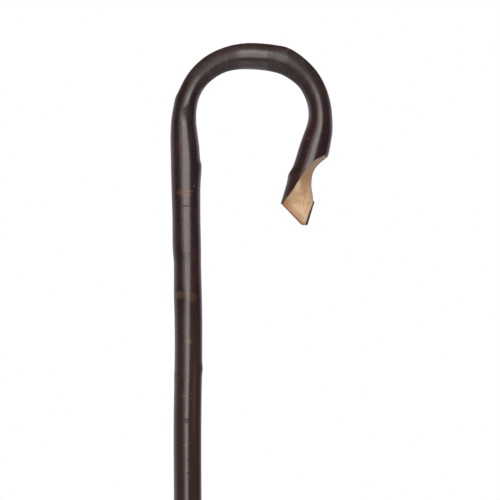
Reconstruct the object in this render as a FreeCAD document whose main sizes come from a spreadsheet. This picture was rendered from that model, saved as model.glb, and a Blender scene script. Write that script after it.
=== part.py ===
import FreeCAD, Part
import math
import os
import Sketcher
from FreeCAD import Placement, Rotation, Vector

# Shepherd crook: a bark-on shoot steam-bent to a hook, with a carved nose and a ferrule at the foot.
# Millimetres and degrees. The origin is the middle of the ferrule's flat base, +Z runs up the shank
# and +X points from the shank towards the mouth of the hook.

# Driving sizes, each written once
SIZES = {
    # Stick: mean radius with the bark on, and the shank from the ferrule to the hook's neck
    "stick_radius": 12.9,
    "shank_long": 1082.0,
    "bark_thick": 0.9,
    # Ferrule: brass sleeve over a turned tenon, with a steel tip plugged into its lower end
    "sleeve_radius": 11.0,
    "sleeve_wall": 0.8,
    "sleeve_long": 35.0,
    "tip_thick": 3.0,
    "tip_edge": 1.8,
    "plug_long": 5.0,
    "pin_radius": 0.9,
    "pin_long": 7.0,
    "pin_drop": 6.0,
    # Line of the hook: a short straight neck, four bends that run into each other, a straight nose
    "neck_side": -2.6,
    "neck_lean": 3.6,
    "neck_long": 20.0,
    "heel_radius": 69.0,
    "heel_turn": 31.0,
    "shoulder_radius": 55.0,
    "shoulder_turn": 44.0,
    "crown_radius": 85.0,
    "crown_turn": 35.0,
    "cheek_radius": 57.0,
    "cheek_turn": 90.0,
    # Largest turn from one oval to the next that gets no extra oval between
    "step_turn": 16.0,
    "nose_long": 82.9,
    # End of the nose: an oblique saw cut whose front and back edges are bevelled
    "saw_slant": 29.9,
    "end_flat": 5.6,
    "end_spare": 15.0,
    # Strip of bark left on the outer edge, measured back from the saw cut
    "strip_long": 40.0,
    # Reach of a cutting tool, wider than the stick
    "tool_reach": 60.0,
}

# Nodes of the shank from the foot up: name, height as a share of the shank, then drift sideways,
# drift back and radius as shares of the stick's radius. The last two shape a knot on the mouth's
# side, which ends in a step at its top.
NODES = [
    ("foot", 0.0, 0.0, 0.0, 0.9),
    ("node1", 0.15, -0.11, 0.03, 0.944),
    ("node2", 0.302, -0.1, 0.05, 0.968),
    ("node3", 0.455, 0.09, 0.06, 0.988),
    ("node4", 0.593, 0.1, 0.06, 1.016),
    ("node5", 0.712, 0.01, 0.06, 1.024),
    ("node6", 0.805, 0.072, 0.09, 1.06),
    ("node7", 0.8715, 0.024, 0.08, 1.048),
    ("node8", 0.972, -0.128, 0.016, 1.096),
    ("knot", 0.9848, -0.108, 0.008, 1.136),
    ("knot_top", 0.9894, -0.152, 0.0, 1.104),
]

# Ovals of the hook: name, bend it sits on, share of that bend, then as shares of the stick's
# radius the radius in the plane of the hook, how much wider the oval is across that plane, and
# how far its middle stands outside the line
OVALS = [
    ("neck_base", "heel", 0.0, 1.078, 0.024, 0.0),
    ("neck", "heel", 0.0, 0.956, 0.096, 0.0),
    ("heel", "heel", 0.5, 0.872, 0.152, -0.024),
    ("heel_top", "shoulder", 0.0, 0.792, 0.2, 0.004),
    ("shoulder", "shoulder", 0.5, 0.828, 0.176, 0.012),
    ("shoulder_top", "crown", 0.0, 0.88, 0.144, 0.024),
    ("crown_low", "crown", 0.4, 0.99, 0.072, -0.02),
    ("crown", "crown", 0.72, 1.012, 0.048, -0.048),
    ("crown_end", "cheek", 0.0, 1.012, 0.024, 0.008),
    ("bump_end", "cheek", 0.11, 1.0, 0.032, 0.02),
    ("cheek_top", "cheek", 0.23, 0.94, 0.072, -0.012),
    ("cheek_high", "cheek", 0.38, 0.88, 0.12, -0.024),
    ("cheek", "cheek", 0.54, 0.87, 0.144, -0.048),
    ("cheek_low", "cheek", 0.69, 0.874, 0.16, -0.072),
    ("jaw", "cheek", 0.85, 0.92, 0.152, -0.068),
    ("jaw_low", "cheek", 1.0, 1.028, 0.072, -0.028),
]

# Ovals of the straight nose: name, share of the nose from the bend to the saw cut, and as above.
# The knot bulges on the mouth's side. From the last oval on the nose is round and even.
NOSE_OVALS = [
    ("nose_top", 0.17, 1.12, 0.024, 0.0),
    ("nose_high", 0.44, 1.144, 0.024, -0.024),
    ("nose_knot", 0.53, 1.216, 0.008, -0.092),
    ("nose_knot_low", 0.6, 1.224, 0.008, -0.104),
    ("nose_low", 0.74, 1.184, 0.0, -0.076),
]

# Carved flank, station by station: name, distance back from the saw cut as a share of the nose,
# distance of the flank from the middle of the nose as a share of the stick's radius, and its
# turn from facing across the hook towards facing outwards
FLANK = [
    ("start", 0.878, 1.408, 72.0),
    ("bite", 0.756, 0.976, 74.0),
    ("slope", 0.646, 0.544, 72.0),
    ("hollow", 0.537, 0.39, 64.3),
    ("twist", 0.427, 0.424, 51.3),
    ("level", 0.305, 0.528, 37.0),
    ("blade", 0.146, 0.448, 10.0),
    ("edge", -0.024, 0.416, -2.0),
    ("past_end", -0.171, 0.4, -4.0),
]

BENDS = ["heel", "shoulder", "crown", "cheek"]

doc = FreeCAD.newDocument("ShepherdCrook")
sheet = doc.addObject("Spreadsheet::Sheet", "Sizes")


def table_sizes():
    """All driving sizes by alias: the plain ones and one alias per number of each table."""
    values = dict(SIZES)
    for name, share, side, back, radius in NODES:
        values[name + "_share"] = share
        values[name + "_side"] = side
        values[name + "_back"] = back
        values[name + "_radius"] = radius
    for name, _, share, radius, wider, outward in OVALS:
        values[name + "_share"] = share
        values[name + "_oval"] = radius
        values[name + "_wider"] = wider
        values[name + "_outward"] = outward
    for name, share, radius, wider, outward in NOSE_OVALS:
        values[name + "_share"] = share
        values[name + "_oval"] = radius
        values[name + "_wider"] = wider
        values[name + "_outward"] = outward
    for name, back, depth, turn in FLANK:
        values[name + "_station"] = back
        values[name + "_depth"] = depth
        values[name + "_flank_turn"] = turn
    return values


def fill_sheet(values):
    """Writes each size to the sheet as plain text with its alias."""
    for row, (alias, value) in enumerate(values.items(), start=1):
        sheet.set("A%d" % row, alias)
        sheet.set("B%d" % row, str(value))
        sheet.setAlias("B%d" % row, alias)


def bind(thing, bindings):
    """Binds properties to expressions, in which $ stands for the sheet."""
    for path, expression in bindings.items():
        thing.setExpression(path, expression.replace("$", "Sizes."))


def add(kind, name, bindings=None):
    """Adds an object and binds its sizes."""
    thing = doc.addObject(kind, name)
    if bindings:
        bind(thing, bindings)
    return thing


# Heights, as expressions
SLEEVE_TOP = "($tip_thick + $sleeve_long)"
NECK_HEIGHT = "(" + SLEEVE_TOP + " + $shank_long)"


def hook_line():
    """Centre line of the hook: neck, four bends clockwise that run into each other, nose."""
    line = add("Sketcher::SketchObject", "hook_line")
    line.Placement = Placement(Vector(0, 0, 0), Rotation(Vector(1, 0, 0), 90))
    bind(line, {"Placement.Base.x": "$neck_side", "Placement.Base.z": NECK_HEIGHT})
    x, y = 0.0, 0.0
    heading = math.radians(90 + SIZES["neck_lean"])
    end_x = SIZES["neck_long"] * math.cos(heading)
    end_y = SIZES["neck_long"] * math.sin(heading)
    line.addGeometry(Part.LineSegment(Vector(x, y, 0), Vector(end_x, end_y, 0)))
    x, y = end_x, end_y
    for bend in BENDS:
        radius = SIZES[bend + "_radius"]
        turn = math.radians(SIZES[bend + "_turn"])
        middle = Vector(x + radius * math.sin(heading), y - radius * math.cos(heading), 0)
        entry = math.atan2(y - middle.y, x - middle.x)
        circle = Part.Circle(middle, Vector(0, 0, 1), radius)
        line.addGeometry(Part.ArcOfCircle(circle, entry - turn, entry))
        x = middle.x + radius * math.cos(entry - turn)
        y = middle.y + radius * math.sin(entry - turn)
        heading -= turn
    end_x = x + SIZES["nose_long"] * math.cos(heading)
    end_y = y + SIZES["nose_long"] * math.sin(heading)
    line.addGeometry(Part.LineSegment(Vector(x, y, 0), Vector(end_x, end_y, 0)))
    constrain_hook_line(line)
    return line


def constrain_hook_line(line):
    """Ties the line together end to end and binds its lengths, radii and turns."""
    nose = len(BENDS) + 1
    line.addConstraint(Sketcher.Constraint("Coincident", 0, 1, -1, 1))
    line.addConstraint(Sketcher.Constraint("Tangent", 0, 2, 1, 2))
    for bend in range(1, len(BENDS)):
        line.addConstraint(Sketcher.Constraint("Tangent", bend, 1, bend + 1, 2))
    line.addConstraint(Sketcher.Constraint("Tangent", len(BENDS), 1, nose, 1))
    lean = line.addConstraint(
        Sketcher.Constraint("Angle", 0, math.radians(90 + SIZES["neck_lean"])))
    neck = line.addConstraint(Sketcher.Constraint("Distance", 0, SIZES["neck_long"]))
    tail = line.addConstraint(Sketcher.Constraint("Distance", nose, SIZES["nose_long"]))
    bind(line, {
        "Constraints[%d]" % lean: "90 deg + $neck_lean * 1 deg",
        "Constraints[%d]" % neck: "$neck_long * 1 mm",
        "Constraints[%d]" % tail: "$nose_long * 1 mm",
    })
    for index, bend in enumerate(BENDS, start=1):
        radius = line.addConstraint(Sketcher.Constraint("Radius", index, SIZES[bend + "_radius"]))
        turn = line.addConstraint(
            Sketcher.Constraint("Angle", index, math.radians(SIZES[bend + "_turn"])))
        bind(line, {
            "Constraints[%d]" % radius: "$%s_radius * 1 mm" % bend,
            "Constraints[%d]" % turn: "$%s_turn * 1 deg" % bend,
        })


def shank_oval(name, node, peel):
    """Round section of the shank. Its seam lies at the back, as on the hook's ovals."""
    oval = add("Part::Ellipse", name)
    oval.Placement = Placement(Vector(0, 0, 0), Rotation(Vector(0, 0, 1), 90))
    radius = "$stick_radius * $%s_radius%s" % (node, peel)
    bind(oval, {
        "Placement.Base.x": "$stick_radius * $%s_side" % node,
        "Placement.Base.y": "$stick_radius * $%s_back" % node,
        "Placement.Base.z": "%s + $shank_long * $%s_share" % (SLEEVE_TOP, node),
        "MajorRadius": radius,
        "MinorRadius": radius,
    })
    return oval


def follow_bend(thing, bend, share, offset, turn_axis, turn):
    """Sets a thing square to a bend, at a share of the bend's length from its lower end.

    Its own X then points out of the hook, its Y to the front and its Z along the stick.
    A bend's parameter runs against the stick's direction, so the share is turned round.
    """
    thing.AttachmentSupport = [(centre_line, "Edge%d" % (BENDS.index(bend) + 2))]
    thing.MapMode = "FrenetNB"
    thing.AttachmentOffset = Placement(Vector(0, 0, 0), Rotation(turn_axis, turn))
    bindings = {"MapPathParameter": "1 - (%s)" % share}
    for axis, expression in zip("xyz", offset):
        bindings["AttachmentOffset.Base." + axis] = expression
    bind(thing, bindings)


def hook_oval(name, bend, share, ahead, radius, wider, outward, peel):
    """Oval of the hook or nose: its long axis lies across the hook, its seam at the back."""
    oval = add("Part::Ellipse", name)
    follow_bend(oval, bend, share, (outward, "0", ahead), Vector(0, 0, 1), -90)
    bind(oval, {
        "MajorRadius": "%s + %s%s" % (radius, wider, peel),
        "MinorRadius": radius + peel,
    })
    return oval


def oval_sizes(name):
    """Radius, extra width and outward shift of an oval, as expressions."""
    return ["$stick_radius * $%s_%s" % (name, what) for what in ("oval", "wider", "outward")]


def halfway(first, second):
    """Mean of two rows of expressions."""
    return ["(%s + %s) / 2" % pair for pair in zip(first, second)]


def stick_sections(layer, peel):
    """All sections of one layer of the stick, from the foot to the even end of the nose.

    Where two ovals of a bend turn far from each other, an extra one stands halfway between them.
    """
    sections = [shank_oval("%s_%s" % (layer, row[0]), row[0], peel) for row in NODES]
    for index, (name, bend, share, _, _, _) in enumerate(OVALS):
        ahead = "-$neck_long" if index == 0 else "0"
        sections.append(hook_oval(
            "%s_%s" % (layer, name), bend, "$%s_share" % name, ahead, *oval_sizes(name), peel))
        if index in (0, len(OVALS) - 1):
            continue
        following, next_bend, next_share = OVALS[index + 1][:3]
        end, end_share = ("$%s_share" % following, next_share) if next_bend == bend else ("1", 1)
        if (end_share - share) * SIZES[bend + "_turn"] > SIZES["step_turn"]:
            sections.append(hook_oval(
                "%s_after_%s" % (layer, name), bend, "($%s_share + %s) / 2" % (name, end), "0",
                *halfway(oval_sizes(name), oval_sizes(following)), peel))
    for name, _, _, _, _ in NOSE_OVALS:
        sections.append(hook_oval(
            "%s_%s" % (layer, name), "cheek", "1", "$nose_long * $%s_share" % name,
            *oval_sizes(name), peel))
    return sections


def nose_end(layer, peel):
    """Even round end of the nose, from its last oval to past the saw cut."""
    last = NOSE_OVALS[-1][0]
    radius, _, outward = oval_sizes(last)
    end = add("Part::Cylinder", layer + "_nose_end")
    follow_bend(end, "cheek", "1", (outward, "0", "$nose_long * $%s_share" % last),
                Vector(0, 0, 1), -90)
    bind(end, {
        "Radius": radius + peel,
        "Height": "$nose_long * (1 - $%s_share) + $end_spare" % last,
    })
    return end


def stick_layer(layer, peel):
    """Form of the stick at one layer: ruled from section to section, then the even nose end."""
    swept = loft(layer + "_sweep", stick_sections(layer, peel), True)
    return join(layer, [swept, nose_end(layer, peel)])


def loft(name, sections, ruled):
    """Solid through a row of sections, straight or smooth from one to the next."""
    body = add("Part::Loft", name)
    body.Sections = sections
    body.Solid = True
    body.Ruled = ruled
    return body


def flank_tool():
    """Tool that carves the front flank: a smooth solid whose squares stand on the flank's face."""
    sections = []
    for name, _, _, _ in FLANK:
        face = add("Part::Plane", "flank_" + name, {"Length": "$tool_reach", "Width": "$tool_reach"})
        turn = "$%s_flank_turn" % name
        depth = "$stick_radius * $%s_depth" % name
        outward = "-$tool_reach / 2 * cos(%s * 1 deg) + %s * sin(%s * 1 deg)" % (turn, depth, turn)
        forward = "$tool_reach / 2 * sin(%s * 1 deg) + %s * cos(%s * 1 deg)" % (turn, depth, turn)
        ahead = "$nose_long * (1 - $%s_station)" % name
        follow_bend(face, "cheek", "1", (outward, forward, ahead), Vector(0, 0, -1), ROUGH_TURN)
        bind(face, {"AttachmentOffset.Rotation.Angle": turn})
        sections.append(face)
    return loft("flank_tool", sections, False)


# Rough starting values, which the bindings then replace
ROUGH_TURN = 10.0
ROUGH_PLACE = 20.0
ROUGH_SPREAD = 10.0


def draw_outline(sketch, corners):
    """Closed outline of straight lines whose corners are tied to a sketch's two axes.

    It starts as a rough ring of points, which the ties then move to their places.
    """
    count = len(corners)
    steps = [2 * math.pi * index / count for index in range(count)]
    rough = [Vector(ROUGH_PLACE + ROUGH_SPREAD * math.cos(step),
                    ROUGH_PLACE + ROUGH_SPREAD * math.sin(step), 0) for step in steps]
    for index in range(count):
        sketch.addGeometry(Part.LineSegment(rough[index], rough[(index + 1) % count]))
    for index in range(count):
        sketch.addConstraint(
            Sketcher.Constraint("Coincident", index, 2, (index + 1) % count, 1))
    for index, (across, up) in enumerate(corners):
        tie_corner(sketch, index, across, "DistanceX", -2)
        tie_corner(sketch, index, up, "DistanceY", -1)


def tie_corner(sketch, index, expression, kind, axis):
    """Places the first point of a line at a distance from an axis, or on it."""
    if expression == "0":
        sketch.addConstraint(Sketcher.Constraint("PointOnObject", index, 1, axis))
        return
    number = sketch.addConstraint(Sketcher.Constraint(kind, -1, 1, index, 1, ROUGH_SPREAD))
    bind(sketch, {"Constraints[%d]" % number: "(%s) * 1 mm" % expression})


def turned_body(name, corners):
    """Body turned about the foot's axis from an outline of (radius, height) corners."""
    body = doc.addObject("PartDesign::Body", name)
    outline = body.newObject("Sketcher::SketchObject", name + "_outline")
    plane = [datum for datum in body.Origin.OriginFeatures if datum.Role == "XZ_Plane"][0]
    outline.AttachmentSupport = [(plane, "")]
    outline.MapMode = "FlatFace"
    draw_outline(outline, corners)
    turned = body.newObject("PartDesign::Revolution", name + "_turned")
    turned.Profile = outline
    turned.ReferenceAxis = (outline, ["V_Axis"])
    turned.Angle = 360
    return body


def make_ferrule_tip():
    """Steel base of the ferrule: a bevelled disc to walk on and a plug that fits the sleeve."""
    plug_top = "$tip_thick + $plug_long"
    bore = "$sleeve_radius - $sleeve_wall"
    return turned_body("ferrule_tip", [
        ("0", "0"), ("$sleeve_radius - $tip_edge", "0"), ("$sleeve_radius", "$tip_edge"),
        ("$sleeve_radius", "$tip_thick"), (bore, "$tip_thick"), (bore, plug_top),
        ("0", plug_top)])


def make_sleeve_blank():
    """Brass tube round the tenon and the tip's plug."""
    bore = "$sleeve_radius - $sleeve_wall"
    return turned_body("sleeve_blank", [
        (bore, "$tip_thick"), ("$sleeve_radius", "$tip_thick"), ("$sleeve_radius", SLEEVE_TOP),
        (bore, SLEEVE_TOP)])


def upright(name, radius, bottom, height):
    """Cylinder that stands on the foot's axis."""
    return add("Part::Cylinder", name, {
        "Radius": radius,
        "Height": height,
        "Placement.Base.z": bottom,
    })


def make_pins():
    """Two pins driven in from front and back and filed flush with the sleeve."""
    wire = add("Part::Cylinder", "pin_wire", {"Radius": "$pin_radius", "Height": "$pin_long * 2"})
    wire.Placement = Placement(Vector(0, 0, 0), Rotation(Vector(1, 0, 0), 90))
    bind(wire, {
        "Placement.Base.y": "$pin_long - $sleeve_radius",
        "Placement.Base.z": SLEEVE_TOP + " - $pin_drop",
    })
    front = add("Part::Common", "front_pin")
    front.Base = wire
    front.Tool = upright("flush_shape", "$sleeve_radius", "$tip_thick", "$sleeve_long")
    pins = add("Part::Compound", "ferrule_pins")
    pins.Links = [front, mirrored("back_pin", front)]
    return pins


def make_end_tool():
    """Tool for the nose's end: an oblique saw cut whose front and back edges are bevelled."""
    outline = add("Sketcher::SketchObject", "end_outline")
    outline.AttachmentSupport = [(centre_line, "Edge%d" % (len(BENDS) + 1))]
    outline.MapMode = "FrenetTB"
    outline.MapPathParameter = 0
    outline.AttachmentOffset = Placement(Vector(0, 0, 0), Rotation(Vector(0, -1, 0), ROUGH_TURN))
    bind(outline, {
        "AttachmentOffset.Base.x": "-$nose_long",
        "AttachmentOffset.Rotation.Angle": "$saw_slant",
    })
    flat = "$end_flat / 2"
    far = "$tool_reach"
    deep = "$tool_reach - $end_flat / 2"
    draw_outline(outline, [
        ("0", "-" + flat), ("0", flat), (deep, far), ("-" + far, far),
        ("-" + far, "-" + far), (deep, "-" + far)])
    tool = add("Part::Extrusion", "end_tool")
    tool.Base = outline
    tool.DirMode = "Normal"
    tool.Solid = True
    tool.Symmetric = True
    bind(tool, {"LengthFwd": "$tool_reach * 2"})
    return tool


def make_strip_box():
    """Space that holds the strip of bark left on the nose's outer edge."""
    box = add("Part::Box", "strip_box", {
        "Length": "$tool_reach",
        "Width": "$tool_reach * 2",
        "Height": "$strip_long + $end_spare * 2",
    })
    follow_bend(box, "cheek", "1", ("0", "-$tool_reach", "$nose_long - $strip_long"),
                Vector(0, 0, 1), 0)
    return box


def join(name, shapes):
    """One solid from several."""
    joined = add("Part::MultiFuse", name)
    joined.Shapes = shapes
    return joined


def cut(name, base, tool):
    """A solid with a tool taken away."""
    rest = add("Part::Cut", name)
    rest.Base = base
    rest.Tool = tool
    return rest


def mirrored(name, source):
    """The same shape on the other side of the hook's middle plane."""
    twin = add("Part::Mirroring", name)
    twin.Source = source
    twin.Normal = Vector(0, 1, 0)
    return twin


def check_document():
    """Stops if any object failed."""
    doc.recompute()
    for thing in doc.Objects:
        if "Invalid" in thing.State or "Error" in thing.State:
            raise RuntimeError("%s failed: %s" % (thing.Name, thing.State))


def export(nodes):
    """Writes one file per sub-part, named by its label."""
    os.makedirs("parts", exist_ok=True)
    for label, thing in nodes.items():
        thing.Label = label
        shape = thing.Shape
        if shape.isNull() or not shape.isValid() or not shape.Solids:
            raise RuntimeError("%s has no valid solid" % label)
        box = shape.BoundBox
        print("%-14s %2d solids  volume %9.1f  x %7.2f %7.2f  y %7.2f %7.2f  z %8.2f %8.2f" % (
            label, len(shape.Solids), shape.Volume, box.XMin, box.XMax, box.YMin, box.YMax,
            box.ZMin, box.ZMax))
        shape.exportStep("parts/%s.step" % label)


fill_sheet(table_sizes())
doc.recompute()
centre_line = hook_line()
doc.recompute()

# Stick: the bark's outer form and the wood's form one bark thickness inside it
PEELED = " - $bark_thick"
skin = stick_layer("skin", "")
core = stick_layer("core", PEELED)

# Tools that carve the nose
flank = flank_tool()
carving = join("carving", [flank, mirrored("back_flank_tool", flank), make_end_tool()])

# Ferrule
ferrule_tip = make_ferrule_tip()
pins = make_pins()
ferrule_sleeve = cut("ferrule_sleeve", make_sleeve_blank(), pins)

# Wood with its tenon, which fills the sleeve above the plug, carved and pinned
tenon = upright("tenon", "$sleeve_radius - $sleeve_wall", "$tip_thick + $plug_long",
                "$sleeve_long - $plug_long")
wood_stock = join("wood_stock", [core, tenon])
stick_wood = cut("stick_wood", wood_stock, join("wood_tools", [carving, pins]))

# Bark, which the carving divides into the long skin and the strip on the nose's outer edge
bark_tube = cut("bark_tube", skin, core)
carved_bark = cut("carved_bark", bark_tube, carving)
strip_box = make_strip_box()
stick_bark = cut("stick_bark", carved_bark, strip_box)
nose_tip_bark = add("Part::Common", "nose_tip_bark")
nose_tip_bark.Base = carved_bark
nose_tip_bark.Tool = strip_box

check_document()
export({
    "stick_wood": stick_wood,
    "stick_bark": stick_bark,
    "nose_tip_bark": nose_tip_bark,
    "ferrule_sleeve": ferrule_sleeve,
    "ferrule_tip": ferrule_tip,
    "ferrule_pins": pins,
})
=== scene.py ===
"""Shepherd crook: a bark-on bent stick with a carved nose and a brass ferrule, with its stage."""

import math

import bmesh
import bpy
import numpy as np
from bpy.props import FloatProperty, FloatVectorProperty, IntProperty, PointerProperty
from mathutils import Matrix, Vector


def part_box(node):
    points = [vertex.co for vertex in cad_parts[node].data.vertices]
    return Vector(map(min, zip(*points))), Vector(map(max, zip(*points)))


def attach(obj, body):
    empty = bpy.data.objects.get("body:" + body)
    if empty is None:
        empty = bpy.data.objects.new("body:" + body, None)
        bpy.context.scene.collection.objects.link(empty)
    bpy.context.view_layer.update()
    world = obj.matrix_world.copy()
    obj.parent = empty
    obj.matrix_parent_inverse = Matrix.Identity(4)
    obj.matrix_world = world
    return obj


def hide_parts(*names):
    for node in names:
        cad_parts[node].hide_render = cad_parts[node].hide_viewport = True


bl_info = {
    "name": "Shepherd Crook",
    "version": (1, 0, 0),
    "blender": (4, 5, 0),
    "location": "3D View > Sidebar > Crook",
    "description": "Builds a bark-on shepherd crook with a carved nose, piece by piece",
    "category": "Object",
}

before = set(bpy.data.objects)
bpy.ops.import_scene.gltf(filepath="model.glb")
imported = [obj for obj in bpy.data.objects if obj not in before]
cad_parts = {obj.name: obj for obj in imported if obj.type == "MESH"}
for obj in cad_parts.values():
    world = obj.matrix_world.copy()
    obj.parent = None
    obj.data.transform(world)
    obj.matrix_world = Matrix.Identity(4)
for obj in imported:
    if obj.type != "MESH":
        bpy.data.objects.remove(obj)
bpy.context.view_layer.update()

# Millimetre: the stick is noted in these, as a maker would, and turned into metres when its
# points are placed
MM = 0.001

# Ferrule: foot, outer radius and top of the sleeve, and top of the tip's plug
(_, _, SLEEVE_FOOT), (SLEEVE_OUT, _, SLEEVE_TOP) = np.array(
    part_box("ferrule_sleeve"), dtype=float) / MM
TIP_TOP = float(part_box("ferrule_tip")[1][2]) / MM

# -------- the stick's line and girth

SHANK_TOP = 1120.0
NECK_SIDE = -2.6

# Shank, from the foot up: height, left edge, right edge, drift to the back
SHANK = np.array([
    (38, -11.6, 11.6, 0), (200, -13.55, 10.75, 0.4),
    (365, -13.75, 11.2, 0.65), (530, -11.6, 13.85, 0.8),
    (680, -11.85, 14.35, 0.8), (804, -13.2, 13.15, 0.8),
    (867, -13.3, 13.2, 1.1), (890, -12.9, 13.5, 1.2),
    (910, -12.55, 13.9, 1.2), (935, -12.3, 14, 1.1),
    (958, -12.55, 14, 1), (981, -13.1, 13.6, 1),
    (1003, -13.05, 13, 0.8), (1012, -13.2, 12.85, 0.7),
    (1021, -14, 12.9, 0.6), (1030, -14.3, 12.75, 0.6),
    (1051, -14.45, 12.3, 0.4), (1075, -15.15, 12.15, 0.2),
    (1098, -15.8, 12.1, 0.1), (1110, -16, 11.9, 0.05),
    (1120, -16.2, 11.2, 0),
])

# Bends of the hook, from the neck on: radius and turn in degrees. A straight neck comes before
# them and a straight nose after them.
NECK_LONG = 20.0
NECK_LEAN = 3.6
BENDS = ((69.0, 31.0), (55.0, 44.0), (85.0, 35.0), (57.0, 90.0))
NOSE_LONG = 82.9

# Girth of the hook: distance from the shank's top, radius in the hook's plane, how much wider it
# is across that plane, and how far its middle stands outside the line
GIRTH = np.array([
    (0, 13.7, 0.3, -0.1), (10, 13.15, 0.75, 0),
    (20, 12.35, 1.2, -0.15), (29, 11.7, 1.55, -0.4),
    (38.7, 11.05, 1.9, -0.35), (57.3, 10.2, 2.5, -0.05),
    (68, 10.35, 2.4, 0.1), (78.5, 10.7, 2.2, 0.1),
    (89, 11.05, 2, 0.2), (99.6, 11.35, 1.8, 0.3),
    (110, 11.9, 1.35, 0.15), (120.3, 12.45, 0.9, -0.3),
    (137, 12.7, 0.6, -0.65), (145, 12.8, 0.4, -0.35),
    (151.5, 12.85, 0.3, -0.05), (161.3, 12.75, 0.4, 0.2),
    (172.1, 12.15, 0.9, -0.15), (185.5, 11.4, 1.5, -0.1),
    (199.8, 11.1, 1.8, -0.6), (213.3, 11, 2, -0.9),
    (227.6, 11.65, 1.9, -0.9), (241, 13.2, 0.9, -0.4),
    (255, 14.35, 0.3, -0.05), (277, 14.65, 0.2, -0.2),
    (290, 15.2, 0.1, -0.8), (302, 15.2, 0, -0.9),
    (340, 15.15, 0, -1),
])

# Slow unevenness of the bark in the hook's plane, and how much more there is in front and behind
UNEVEN_SIDE = 0.02
UNEVEN_FRONT = 0.17

# Knots and swellings: distance along the stick from the ground, angle from the hook's outer side
# towards the front, rise, length of the slope up to it, length of the slope past it, half angle
KNOTS = (
    (1103, 178, 1.3, 14, 3.6, 38), (1405.5, 180, 1.2, 5, 5.5, 42),
    (1274.5, 12, 0.5, 5, 6, 30), (1164, 4, 0.6, 5, 5.5, 40),
    (1152, 112, -0.7, 9, 8, 28), (930, 118, -0.8, 220, 50, 34),
    (981, 95, 0.5, 14, 7, 26), (910.3, 176, 0.65, 4.5, 4, 30),
    (902, 4, 0.2, 5, 5, 24), (680, 20, 0.7, 14, 5, 30),
    (530, 200, 0.7, 14, 5, 30), (365, 75, 0.6, 14, 5, 30),
    (200, 290, 0.6, 14, 5, 30),
)

# Carved flank: distance back from the saw cut, distance from the middle of the nose, and turn
# from facing across the hook towards facing outwards
FLANK = np.array([
    (72, 17.6, 71), (62, 11.8, 68.5),
    (56, 7.95, 65.9), (50, 5.4, 65.5),
    (44, 4.45, 58.5), (38, 4.62, 50.2),
    (32, 5.1, 41.5), (26, 5.7, 32.5),
    (20, 5.58, 24.2), (17, 5.72, 17),
    (13, 5.35, 6.5), (8, 5.3, 0),
    (-2, 5.35, -3), (-14, 5.15, -4),
])

# How far the outer edge of the carving is rounded off, over which reach, and the distance given
# where no flank is met
RIDGE_ROUND = 0.16
RIDGE_REACH = 0.35
NO_FLANK = 1e3

# Saw cut at the nose's end: slope across the nose, half width of its flat, how fast it rounds off
# in front and behind, and where and how fast the outer corner rounds off
SAW_SLOPE = 0.575
SAW_FLAT = 1.6
SAW_ROUND = 0.15
CORNER_START = 6.5
CORNER_ROUND = 0.087

# First row of the nose that may be carved and first that may have the strip of bark, back from
# the saw cut
CARVE_START = 76.0
STRIP_START = 30.0

# Where the edges of the carving are looked for: distance past the saw cut, number of rows, and
# how often the way to the saw cut is halved
BARK_SEARCH = (9.0, 900)
NOSE_SEARCH = (12.0, 700)
HALVINGS = 60

# Points: rows up to the carving and over it, how much closer the bark's rows stand at the hook,
# and cells across half the nose over its outer rim, its flank and its inner rim
BARK_ROWS = (470, 90)
UNDER_ROWS = (110, 30)
WOOD_ROWS = (140, 150)
STRIP_ROWS = 60
ROW_SQUEEZE = 1.6
NOSE_CELLS = (6, 34, 14)

# Ferrule: wall and bore of the sleeve, gap round the tip's plug, rounding of the tip, depth of
# the pins, and how far their heads are filed down at the edge and on the slope
SLEEVE_WALL = 0.8
BORE = SLEEVE_OUT - SLEEVE_WALL
PLUG_GAP = 0.02
TIP_ROUND = 1.75
PIN_DEEP = 7.0
HEAD_EDGE = 0.08
HEAD_SLOPE = 0.02


def through(x, table, column):
    """Smooth curve through a table's rows: cubic runs whose slope at each row is the mean slope
    of the rows beside it."""
    order = np.argsort(table[:, 0])
    xs, ys = table[order, 0], table[order, column]
    slopes = np.gradient(ys, xs)
    i = np.clip(np.searchsorted(xs, x) - 1, 0, len(xs) - 2)
    run = xs[i + 1] - xs[i]
    t = np.clip((x - xs[i]) / run, 0.0, 1.0)
    rise = t * t * (3 - 2 * t)
    return (ys[i] * (1 - rise) + ys[i + 1] * rise
            + run * t * (1 - t) * ((1 - t) * slopes[i] - t * slopes[i + 1]))


def polar(radius, angle):
    """Outward and forward parts of a radius at an angle from the outward direction."""
    return radius * np.cos(angle), radius * np.sin(angle)


def turns(count):
    """Angles evenly round a circle."""
    return np.linspace(0, 2 * math.pi, count, endpoint=False)


def run_point(step, x, z, heading, radius):
    """Point and heading at a step along a run of the hook's line: straight, or on a bend whose
    centre lies at its radius to the right of the heading."""
    if not radius:
        return x + step * math.cos(heading), z + step * math.sin(heading), heading + 0 * step
    new = heading - step / radius
    return (x + radius * (math.sin(heading) - np.sin(new)),
            z - radius * (math.cos(heading) - np.cos(new)), new)


def hook_runs():
    """Runs of the hook's line: start length, start point, start heading, bend radius."""
    runs = []
    x, z, heading, along = NECK_SIDE, SHANK_TOP, math.radians(90 + NECK_LEAN), SHANK_TOP
    for radius, turn in ((0.0, 0.0),) + BENDS + ((0.0, 0.0),):
        long = radius * math.radians(turn) if radius else (NOSE_LONG if runs else NECK_LONG)
        runs.append((along, x, z, heading, radius))
        x, z, heading = run_point(long, x, z, heading, radius)
        along += long
    return runs


RUNS = hook_runs()
SAW_CUT = RUNS[-1][0] + NOSE_LONG


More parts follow.
